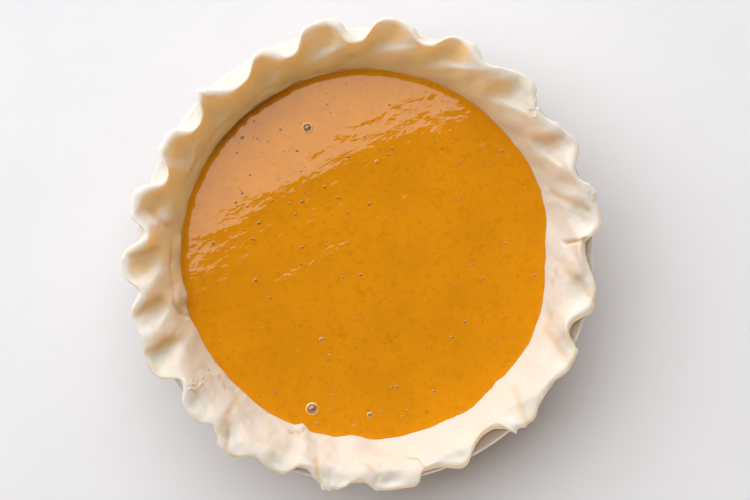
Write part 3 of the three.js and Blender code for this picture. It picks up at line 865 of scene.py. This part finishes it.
def pastry_rows(dish, pastry, level, degrees):
    """Radius, height and turn of each row of the case. The inner face is a rounded path from the custard to
    the crest: it climbs the wall to a knee, runs out to a bend, and rises to the crest, with the bend lower
    for a cup than for a ridge. The lip is half an ellipse, the back drops from it to the dish's rim, and the
    underside follows the dish with a gap."""
    lean = dish.wall_lean
    lean_degrees = np.degrees(lean)
    same = np.ones_like(degrees)
    floor_radii, wall_heights = (0, 40, 75), (20.0, 27.0)
    rows = [(radius * same, pastry.floor * same, same) for radius in floor_radii]
    corner_z = pastry.floor + pastry.floor_corner
    corner_r = case_wall(dish, pastry, corner_z) - pastry.floor_corner / cos(lean)
    for radius, height in arc((corner_r, corner_z), pastry.floor_corner, -90, -lean_degrees, steps=3):
        rows.append((radius * same, height * same, same))
    turn = slant(pastry, degrees)
    swell = sum_of_swells(degrees + turn, WALL_SWELLS)
    low = rows[-1][1][0]
    for height in wall_heights:
        share = (height - low) / (level - low)
        rows.append((case_wall(dish, pastry, height) + swell * share, height * same, same))

    reach, tip = outline(degrees)
    lead = np.degrees(pastry.lip_lead)
    inner, inner_tip = outline(degrees - lead)
    cupped, depth = cup(degrees)
    top = pastry.crest - pastry.tip_drop * tip
    swing = np.cos(np.radians(degrees) - pastry.notch_slope_most_at)
    slope = pastry.notch_slope + pastry.notch_slope_varies * swing
    rim = dish.rim_radius
    slope_over, ridge_start, cup_turn, notch_end, tip_turn = 4, 90, 60, 30, 60
    full = pastry.lip_thickness * (1 - inner_tip) + FLUTES[flute_at(degrees - lead)[0], 7] * inner_tip
    lip_out = reach - slope * ease((rim + 1 - reach) / slope_over)
    lip_in = inner - slope * ease((rim + 1 - inner) / slope_over) - full
    lip_in = np.minimum(lip_in, lip_out - pastry.lip_least)
    middle, half = (lip_out + lip_in) / 2, (lip_out - lip_in) / 2
    first, last = np.radians(ridge_start + cup_turn * cupped), np.radians(notch_end - tip_turn * tip)
    crest_r = middle + half * np.cos(first)
    crest_z = top - pastry.lip_half_height * (1 - np.sin(first))
    foot_r = case_wall(dish, pastry, level) + swell
    bend_z = top - depth - pastry.ridge_fall * (1 - cupped)
    wall_r = foot_r + (bend_z - level) * tan(lean)
    least_rise, least_shelf = 0.8, 0.5
    bend_r = np.minimum(wall_r + pastry.bend_share * (crest_r - wall_r), crest_r - least_rise)
    knee = bend_z - pastry.knee_drop + pastry.cup_knee_rise * cupped
    climb = np.minimum(knee - level, (bend_r - least_shelf - foot_r) / tan(lean))
    corners = [
        np.stack([foot_r, level * same]),
        np.stack([foot_r + climb * tan(lean), level + climb]),
        np.stack([bend_r, bend_z]),
        np.stack([crest_r, crest_z]),
    ]
    for radius, height in rounded(corners, FACE_ROWS - 1):
        inwards = np.clip((crest_r - radius) / (crest_r - foot_r), 0, 1)
        rows.append((radius, height, inwards ** pastry.turn_power))
    for s in np.linspace(0, 1, LIP_ROWS):
        a = first + (last - first) * s
        height = top - pastry.lip_half_height * (1 - np.sin(a))
        rows.append((middle + half * np.cos(a), height, 0 * same))

    foot_inset, bevel = 2.0, 0.8
    foot = np.minimum(reach, rim - foot_inset)
    bottom = dish.height + GAP
    lip_r, lip_z = rows[-1][0], rows[-1][1]
    for s in np.linspace(0, 1, BACK_ROWS + 1)[1:]:
        rows.append((lip_r + (foot - lip_r) * s, lip_z + (bottom + bevel - lip_z) * s, 0 * same))
    rows.append((foot - bevel, bottom * same, 0 * same))
    shoulder, corner = dish.shoulder_radius, dish.corner_radius
    shoulder_r = dish_wall(dish, dish.height - shoulder) + shoulder / cos(lean)
    corner_r = dish_wall(dish, dish.base_thickness + corner) - corner / cos(lean)
    under = np.concatenate([
        arc((shoulder_r, dish.height - shoulder), shoulder + GAP, 90, 180 - lean_degrees, steps=2),
        arc((corner_r, dish.base_thickness + corner), corner - GAP, -lean_degrees, -90, steps=2),
        [(0, dish.base_thickness + GAP)],
    ])
    rows.extend((radius * same, height * same, 0 * same) for radius, height in under)
    return [np.array(part) for part in zip(*rows)]


def towards_window(degrees, stage):
    """1 on the side of the rim that is nearest to the window and -1 opposite, as a cosine."""
    return np.cos(np.radians(degrees) - stage.window_azimuth)


def away_from_window(degrees, stage):
    """0 round the side of the rim that is nearest to the window, and 1 round the other."""
    most, blur = 0.35, 0.7
    return ease((most - towards_window(degrees, stage)) / blur)


def turned_from_window(skin, stage):
    """0 where a skin looks at the window over a clear horizon and 1 where it looks away or lies behind a
    crest. The horizon is the steepest rise, on a map of the skin's heights in square cells, to any spot
    towards the window."""
    tilt, azimuth = stage.window_tilt, stage.window_azimuth
    window = np.array([sin(tilt) * cos(azimuth), sin(tilt) * sin(azimuth), cos(tilt)])
    cell, half, furthest = 1.2, 140.0, 36.0
    clear_below, hidden_over, hidden_share, overlooked = 22, 45, 0.6, 1
    facing_least, facing_range = -0.24, 0.90
    cells = int(2 * half / cell)
    heights = np.zeros((cells, cells))

    def cell_of(plan):
        return tuple(np.clip((plan + half) / cell, 0, cells - 1).astype(int).transpose(2, 0, 1))

    np.maximum.at(heights, cell_of(skin[..., :2]), skin[..., 2])
    horizon = np.zeros(skin.shape[:2])
    for reach in np.arange(2 * cell, furthest, cell):
        rise = heights[cell_of(skin[..., :2] + reach * window[:2] / sin(tilt))] - skin[..., 2]
        horizon = np.maximum(horizon, (rise - overlooked) / reach)
    clear = 1 - hidden_share * ease((np.degrees(np.arctan(horizon)) - clear_below) / hidden_over)
    return 1 - ease((outward(skin) @ window - facing_least) / facing_range) * clear


def near_path(plan, corners, half):
    """1 on a path and less away from it, as a bell curve of the distance."""
    return np.exp(-(path_distance(plan, corners) / half) ** 2)


def dough_tints(skin, row, degrees, pastry, stage):
    """How much of the tan tint each point of the dough takes, how much of the darker tint, and how much it
    belongs to the inner face. The tan tint is painted shade: where the skin looks away from the window
    or lies behind a crest, less on the back of the rim, and all through the cups on the window's side.
    The darker tint is painted shade under the lip and along the foot of the rim's back, away from the
    window, with a faint even tint over the lip's outer half and the back."""
    half_lip = CREST + LIP_ROWS // 2
    # The tan tint is painted shade: where the skin looks away from the window or lies behind a crest, less
    # on the back of the rim, and in the cups on the window's side.
    on_side = np.where(row < half_lip, 1.0, pastry.back_shade)
    shade = soften(turned_from_window(skin, stage), times=6) * on_side
    cup_blur, crest_blur, lip_blur, foot_blur, inner_blur = 10, 4, 6, 5, 14  # rows over which they fade
    least_facing, facing_blur = 0.25, 0.3
    in_cup = ease((row - FACE - FACE_ROWS / 2) / cup_blur) * ease((CREST + crest_blur - row) / crest_blur)
    in_cup = cup(degrees)[0] ** 2 * in_cup
    facing = ease((towards_window(degrees, stage) - least_facing) / facing_blur)
    shade = np.maximum(shade, pastry.cup_shade * in_cup * facing)

    # Darker painted shade under the lip and along the foot of the back, away from the window and less at a
    # tip, and a faint even tint over the lip's outer half and the back.
    lip_stain, under_lip_shade, less_at_tip = 0.2, 0.3, 0.5
    on_back = row < FOOT
    under_lip = ease((row - BACK + 3) / lip_blur) * on_back
    at_foot = ease((row - FOOT + foot_blur) / foot_blur) * (row < FOOT + 2)
    at_foot = at_foot * (1 - less_at_tip * outline(degrees)[1])
    stain = np.maximum(at_foot, under_lip_shade * under_lip) * away_from_window(degrees, stage)
    stain = np.maximum(stain, lip_stain * ease((row - half_lip) / lip_blur) * on_back)
    return shade, stain, ease((CREST - 2 - row) / inner_blur) + 0 * shade


def build_pastry(dish, pastry, custard, stage):
    """The case's skin: its rows, softened, its edge torn by stretching it from the axis, then moved along
    its normals by rolls, dimples, grain, creases and broken patches. Returns the points and the fields."""
    degrees = np.arange(CASE_COLUMNS) * 360 / CASE_COLUMNS
    radius, height, turn = pastry_rows(dish, pastry, custard.level, degrees)
    skin = around(radius, height, degrees + turn * slant(pastry, degrees))
    skin = soften(skin, times=14, first=FACE + 1, last=FOOT - 1)
    row = np.arange(len(skin))[:, None]
    torn_from, torn_blur = CREST - 8, 14
    edge = ease((row - torn_from) / torn_blur) * ease((FOOT - row) / BACK_ROWS)
    from_axis = np.hypot(skin[..., 0], skin[..., 1]).clip(1)
    skin[..., :2] *= 1 + (edge * sum_of_swells(degrees, EDGE_TEETH) / from_axis)[..., None]
    shade, stain, inner = dough_tints(skin, row, degrees, pastry, stage)

    height = skin[..., 2]
    below_custard, above_range, over_dish, back_range = 4, 7, 1.5, 4
    above = ease((height - custard.level + below_custard) / above_range) * (row > FACE - 2)
    clear = above * np.where(row >= BACK, ease((height - dish.height - over_dish) / back_range), 1.0)
    heading = outward(skin)
    plan = skin[..., :2]
    relief = 0
    for strength, size, seed in ((pastry.rolls, 16, 21), (pastry.dimples, 6.5, 22), (pastry.grain, 2.4, 23)):
        relief = relief + strength * rolls(skin, size, seed) * clear
    upper = (row < BACK) * above
    # Each crease sinks the skin and takes the darker tint, painted shade in it.
    crease_shade_narrows = 1.5
    for corners, half, depth, tint in CREASES:
        near = near_path(plan, corners, half)
        relief = relief - depth * near * upper
        stain = np.maximum(stain, tint * near ** crease_shade_narrows)
    # Streaks take the darker tint, the first three as painted shade.
    for corners, half, tint in STREAKS:
        stain = np.maximum(stain, tint * near_path(plan, corners, half))
    # In a broken patch the dough crumbles, and its hollows take the darker tint as painted shade.
    finer, lowered, hollow_shade = 0.7, 0.8, 0.55
    crumbled = np.abs(rolls(skin, 2.6, seed=24)) + finer * np.abs(rolls(skin, 1.5, seed=25)) - lowered
    for at, reach, half, strength, _ in BROKEN:
        near = ease(1 - np.linalg.norm(plan - polar(at, reach), axis=-1) / half)
        relief = relief + strength * near * crumbled * upper
        stain = np.maximum(stain, hollow_shade * near * ease(-crumbled))
    skin = skin + heading * relief[..., None]
    skin[0], skin[-1] = skin[0].mean(0), skin[-1].mean(0)

    tint_below, tint_range = 3, 4
    side = ease((skin[..., 2] - custard.level + tint_below) / tint_range)
    return skin, {"shade": shade * side, "stain": stain * side, "inner": inner}


def lump(columns, rows):
    """A unit ball as a small skin, and its faces."""
    turn = np.arange(columns) * 360 / columns
    rise = np.linspace(90, -90, rows)[:, None]
    skin = around(np.cos(np.radians(rise)) + 0 * turn, np.sin(np.radians(rise)), turn[None] + 0 * rise)
    return skin_points(skin), skin_faces(rows, columns)


def joined(parts, faces):
    """Points of like parts one after another, with their faces counted on."""
    count = parts.shape[1]
    every = [[index + count * k for index in face] for k in range(len(parts)) for face in faces]
    return parts.reshape(-1, 3), every


def build_crumbs(pastry_piece):
    """Crumbs of dough: balls stretched at random, roughened by noise and let into the pastry under them,
    thickest in the middle of each broken patch. Returns the points and the faces."""
    draw = np.random.default_rng(31)
    ball, faces = lump(10, 8)
    ground = BVHTree.FromObject(pastry_piece, bpy.context.evaluated_depsgraph_get())
    spread, smallest, largest, thinnest, thickest = 0.4, 0.25, 0.8, 0.6, 1.3
    weakest, roughness, noise_size, noise_apart, sunk, overhead = 0.6, 0.16, 3, 50, 0.15, 200
    parts = []
    for at, reach, half, strength, count in BROKEN:
        for _ in range(count):
            spot = polar(at, reach) + draw.normal(size=2) * half * spread
            size = draw.uniform(smallest, largest) * (weakest + (1 - weakest) * strength)
            stretch = draw.uniform(thinnest, thickest, 3) * size
            spun = np.linalg.qr(draw.normal(size=(3, 3)))[0]
            if np.linalg.det(spun) < 0:
                spun[0] = -spun[0]
            hit = ground.ray_cast(Vector((*spot * MM, overhead * MM)), Vector((0, 0, -1)))[0]
            if hit is None:
                continue
            place = ball * noise_size + draw.uniform(0, noise_apart, 3)
            rough = 1 + roughness * rolls(place, noise_size, seed=32)[:, None]
            parts.append(ball * rough * stretch @ spun + np.array(hit) / MM + (0, 0, sunk * size))
    return joined(np.array(parts), faces)


# ------------------------------------------------------------ the custard

def build_custard(dish, pastry, custard):
    """The custard's skin: a level top with a meniscus that climbs the pastry on the window's side, and still
    ripples, longest across the light, and trails, then down inside the case and flat underneath. Returns the
    points and how much of the shadow's colour each takes."""
    columns, rows = 720, 112
    degrees = np.arange(columns) * 360 / columns
    edge = case_wall(dish, pastry, custard.level) + sum_of_swells(degrees, WALL_SWELLS) + custard.bite
    share = np.linspace(0, 1, rows)[:, None]
    closer_at_edge = 0.06
    share = share * (1 + closer_at_edge - closer_at_edge * share)
    radius = edge * share
    skin = around(radius, np.full_like(radius, custard.level), degrees + 0 * radius)

    climbs_at, climbs_half, climbs_blur, least, raggedness, thicker = 122, 90, 22, 0.12, 0.14, 0.45
    climbing = least + (1 - least) * ease((climbs_half - np.abs(apart(degrees, climbs_at))) / climbs_blur)
    thick = sum_of_swells(degrees, THICK_SHADOW)
    from_edge = edge - custard.bite - radius
    ragged = 1 + raggedness * rolls(skin, 6, seed=43)
    width = custard.meniscus_width * (1 + thicker * thick) * ragged
    skin[..., 2] += custard.meniscus * climbing * ease(1 - from_edge / width) ** 2

    turn, drawn_out, calm_width, fine, coarse = radians(25), 2.6, 2, 0.6, 1.6
    along = (skin[..., 0] * cos(turn) + skin[..., 1] * sin(turn)) / drawn_out
    across = skin[..., 1] * cos(turn) - skin[..., 0] * sin(turn)
    spun = np.stack([along, across, 0 * radius], -1)
    calm = ease((edge - radius) / calm_width)
    ripples = fine * rolls(spun, 7, seed=41) + coarse * rolls(spun, 22, seed=42)
    skin[..., 2] += custard.ripples * ripples * calm
    for corners, half, depth in TRAILS:
        skin[..., 2] -= depth * near_path(skin[..., :2], corners, half) * calm

    heights, bed_radius = (custard.level - 2, 27.0, 20.0, 14.0), 76.0
    bed = [(case_wall(dish, pastry, height) - GAP, height) for height in heights]
    bed.extend([(bed_radius, pastry.floor + GAP), (0.0, pastry.floor + GAP)])
    wall = np.stack([around(np.full(columns, r), np.full(columns, z), degrees) for r, z in bed])
    narrow, broad, faint, faint_if_thick = 5.2, 24, 0.06, 0.16
    shadow = thick * ease(1 - from_edge / (narrow * ragged))
    shadow = shadow + (faint * climbing + faint_if_thick * thick) * ease(1 - from_edge / broad)
    return np.concatenate([skin, wall]), np.concatenate([shadow, np.zeros(wall.shape[:2])])


def bubble_skin(columns, rows):
    """A bubble one unit across its film: from the top of its dome, a flattened half ball, down to a groove,
    up over the raised ring, a bell curve, and out to nothing. Returns its points, its faces and the share of
    the ring's paler colour, a painted highlight on the ring, which reaches half as much, as painted light
    coming through, on the side of the film that faces away from the window."""
    outermost, film, dome_height, depth = 0.86, 0.5, 0.42, 0.3
    ring_height, ring_at, ring_width, groove = 0.13, 0.6, 0.085, 0.02
    film_blur, far_share, far_blur = 0.06, 0.5, 0.45
    window = np.array([-0.5, 0.87, 0])
    reach = np.linspace(0, outermost, rows)
    dome = dome_height * np.sqrt(np.clip(1 - (reach / film) ** 2, 0, 1))
    ring = ring_height * np.exp(-((reach - ring_at) / ring_width) ** 2)
    height = dome + ring - groove
    turn = np.arange(columns) * 360 / columns
    skin = around(reach[:, None] + 0 * turn, height[:, None], turn[None] + 0 * reach[:, None])
    under = around(np.zeros((1, columns)), np.full((1, columns), -depth), turn[None])
    skin = np.concatenate([skin, under])
    share = np.append(ease((reach - film) / film_blur), 1.0)[:, None]
    far_side = far_share * ease(-(skin @ window) / far_blur)
    on_points = skin_points(np.maximum(share, far_side)[..., None])
    return skin_points(skin), skin_faces(len(skin), columns), on_points.ravel()


def build_bubbles(custard):
    """The large bubbles in their places and tiny ones scattered over the custard, more of them near the
    window's side. A size grows with the cube of a random number, so most are near the smallest. Returns the
    points, the faces and the ring's share."""
    draw = np.random.default_rng(51)
    points, faces, share = bubble_skin(20, 16)
    large = [points * size + (*polar(at, reach), custard.level) for at, reach, size in BUBBLES]
    large_points, large_faces = joined(np.array(large), faces)
    small_points, small_faces, small_share = bubble_skin(8, 6)
    furthest, most_at, fewest, fewest_to, most_over = 97, 120, 0.45, 10, 40
    smallest, varies, ring_share = 0.4, 0.7, 0.4
    small = []
    while len(small) < custard.pinholes:
        at, reach = draw.uniform(0, 360), furthest * draw.uniform() ** 0.5
        towards = ease((reach * cos(radians(at - most_at)) - fewest_to) / most_over)
        if draw.uniform() > fewest + (1 - fewest) * towards:
            continue
        size = smallest + varies * draw.uniform() ** 3
        small.append(small_points * size + (*polar(at, reach), custard.level))
    more_points, more_faces = joined(np.array(small), small_faces)
    more_faces = [[index + len(large_points) for index in face] for face in more_faces]
    rings = np.concatenate([np.tile(share, len(large)), np.tile(ring_share * small_share, len(small))])
    return np.concatenate([large_points, more_points]), large_faces + more_faces, rings


# ------------------------------------------------------------ operators

class PIE_OT_dish(bpy.types.Operator):
    """Makes the glazed pie dish"""
    bl_idname = "pie.dish"
    bl_label = "Dish"

    def execute(self, context):
        dish = sizes("pie_dish")
        skin, fields = build_dish(dish, sizes("pie_stage"))
        make_skin("pie_dish", skin, fields, glaze_material(dish), "dish_glaze", "dish")
        return {"FINISHED"}


class PIE_OT_pastry(bpy.types.Operator):
    """Makes the pastry case with its pinched flutes"""
    bl_idname = "pie.pastry"
    bl_label = "Pastry case"

    def execute(self, context):
        pastry = sizes("pie_pastry")
        glow = 1.8
        skin, fields = build_pastry(sizes("pie_dish"), pastry, sizes("pie_custard"), sizes("pie_stage"))
        make_skin("pastry_case", skin, fields, dough_material(pastry, "raw_dough", glow), "pastry", "crust")
        return {"FINISHED"}


class PIE_OT_crumbs(bpy.types.Operator):
    """Makes the crumbs on the broken patches of the pastry"""
    bl_idname = "pie.crumbs"
    bl_label = "Crumbs"

    def execute(self, context):
        case = bpy.data.objects.get("pastry_case")
        if case is None:
            raise RuntimeError("the crumbs lie on the pastry case, which isn't there yet")
        points, faces = build_crumbs(case)
        glow = 0.05
        dough = dough_material(sizes("pie_pastry"), "dough_crumbs", glow)
        make_piece("pastry_crumbs", points, faces, {}, dough, "pastry")
        return {"FINISHED"}


class PIE_OT_custard(bpy.types.Operator):
    """Makes the custard"""
    bl_idname = "pie.custard"
    bl_label = "Custard"

    def execute(self, context):
        custard = sizes("pie_custard")
        skin, shadow = build_custard(sizes("pie_dish"), sizes("pie_pastry"), custard)
        fields = {"shadow": shadow}
        make_skin("custard_filling", skin, fields, custard_material(custard), "custard", "filling")
        return {"FINISHED"}


class PIE_OT_bubbles(bpy.types.Operator):
    """Makes the bubbles in the custard"""
    bl_idname = "pie.bubbles"
    bl_label = "Bubbles"

    def execute(self, context):
        custard = sizes("pie_custard")
        points, faces, rings = build_bubbles(custard)
        make_piece("custard_bubbles", points, faces, {"ring": rings}, bubble_material(custard), "custard")
        return {"FINISHED"}


class PIE_OT_stage(bpy.types.Operator):
    """Makes the floor, the lights and the camera"""
    bl_idname = "pie.stage"
    bl_label = "Stage"

    def execute(self, context):
        stage = sizes("pie_stage")
        self.make_floor(stage)
        window = self.make_panel("window", stage.window_width, stage.window_height, stage.window_light)
        self.aim(window, stage.window_azimuth, stage.window_tilt, stage.window_distance)
        bounce = self.make_panel("reflector", stage.bounce_width, stage.bounce_height, stage.bounce_light)
        bounce.data.color = stage.bounce_colour
        self.aim(bounce, stage.window_azimuth + pi, stage.bounce_tilt, stage.bounce_distance)
        self.make_sky(stage)
        self.make_camera(stage, sizes("pie_dish").height)
        context.scene.view_settings.view_transform = "Standard"
        return {"FINISHED"}

    def make_floor(self, stage):
        """A flat square just under the dish."""
        half, drop = stage.floor_half, 0.05
        corners = np.array([(x * half, y * half, -drop) for x, y in ((-1, -1), (1, -1), (1, 1), (-1, 1))])
        mesh = bpy.data.meshes.new("floor")
        mesh.from_pydata((corners * MM).tolist(), [], [(0, 1, 2, 3)])
        mesh.materials.append(floor_material(stage))
        floor = put_in_scene("floor", mesh)

    def make_panel(self, name, width, height, radiance):
        """An area light. Its power is its radiance by pi by its area."""
        light = bpy.data.lights.new(name, "AREA")
        light.shape = "RECTANGLE"
        light.size, light.size_y = width * MM, height * MM
        light.energy = radiance * pi * light.size * light.size_y
        panel = put_in_scene(name, light)
        panel.visible_camera = False
        return panel

    def aim(self, panel, azimuth, tilt, distance):
        """Places a light round the middle of the custard's surface and turns it to face there."""
        way = Vector((sin(tilt) * cos(azimuth), sin(tilt) * sin(azimuth), cos(tilt)))
        panel.location = way * distance * MM + Vector((0, 0, sizes("pie_custard").level * MM))
        panel.rotation_euler = (-way).to_track_quat("-Z", "Y").to_euler()

    def make_sky(self, stage):
        """The room's light: darkest overhead, brighter soon on the way down to the side, and dark opposite
        the window. It falls by the sixth power of the height looked up to."""
        world = bpy.data.worlds.new("room")
        bpy.context.scene.world = world
        world.use_nodes = True
        finish = Finish(world.node_tree)
        way = finish.add("ShaderNodeTexCoord").outputs["Generated"]
        parts = finish.add("ShaderNodeSeparateXYZ", {}, {0: way}).outputs
        across, along, up = (Amount(finish, part) for part in parts)
        facing = across * cos(stage.window_azimuth) + along * sin(stage.window_azimuth)
        squared = up * up
        light = stage.sky_side - squared * squared * squared * (stage.sky_side - stage.sky_top)
        dark_to, bright_from, tint = 0.06, 0.3, (1.0, 0.99, 1.0)
        share = facing.within(dark_to, bright_from).between(stage.sky_dark, 1)
        background = world.node_tree.nodes["Background"]
        finish.feed(background, {"Color": tint, "Strength": light * share})

    def make_camera(self, stage, rim_height):
        """A camera right over the pie that sees the view's width at the height of the rim."""
        sensor = 36.0
        camera = bpy.data.cameras.new("camera")
        camera.sensor_width = sensor
        camera.lens = sensor * stage.camera_height / stage.view_width
        stand = put_in_scene("camera", camera)
        stand.location = Vector((stage.camera_x, stage.camera_y, rim_height + stage.camera_height)) * MM
        bpy.context.scene.camera = stand


OPERATORS = (PIE_OT_dish, PIE_OT_pastry, PIE_OT_crumbs, PIE_OT_custard, PIE_OT_bubbles, PIE_OT_stage)


class PIE_PT_panel(bpy.types.Panel):
    """Lists the pieces of the pie"""
    bl_idname = "PIE_PT_panel"
    bl_label = "Pumpkin Pie"
    bl_space_type = "VIEW_3D"
    bl_region_type = "UI"
    bl_category = "Pie"

    def draw(self, context):
        for operator in OPERATORS:
            self.layout.operator(operator.bl_idname)
        for name in GROUPS:
            group = getattr(context.scene, name)
            box = self.layout.box()
            for key in own_keys(group):
                box.prop(group, key)


def register():
    for group in GROUPS.values():
        bpy.utils.register_class(group)
    for name, group in GROUPS.items():
        setattr(bpy.types.Scene, name, PointerProperty(type=group))
    for operator in OPERATORS:
        bpy.utils.register_class(operator)
    bpy.utils.register_class(PIE_PT_panel)


def unregister():
    bpy.utils.unregister_class(PIE_PT_panel)
    for operator in reversed(OPERATORS):
        bpy.utils.unregister_class(operator)
    for name in GROUPS:
        delattr(bpy.types.Scene, name)
    for group in GROUPS.values():
        bpy.utils.unregister_class(group)


def main():
    register()
    bpy.ops.pie.dish()
    bpy.ops.pie.pastry()
    bpy.ops.pie.crumbs()
    bpy.ops.pie.custard()
    bpy.ops.pie.bubbles()
    bpy.ops.pie.stage()


if __name__ == "__main__":
    main()
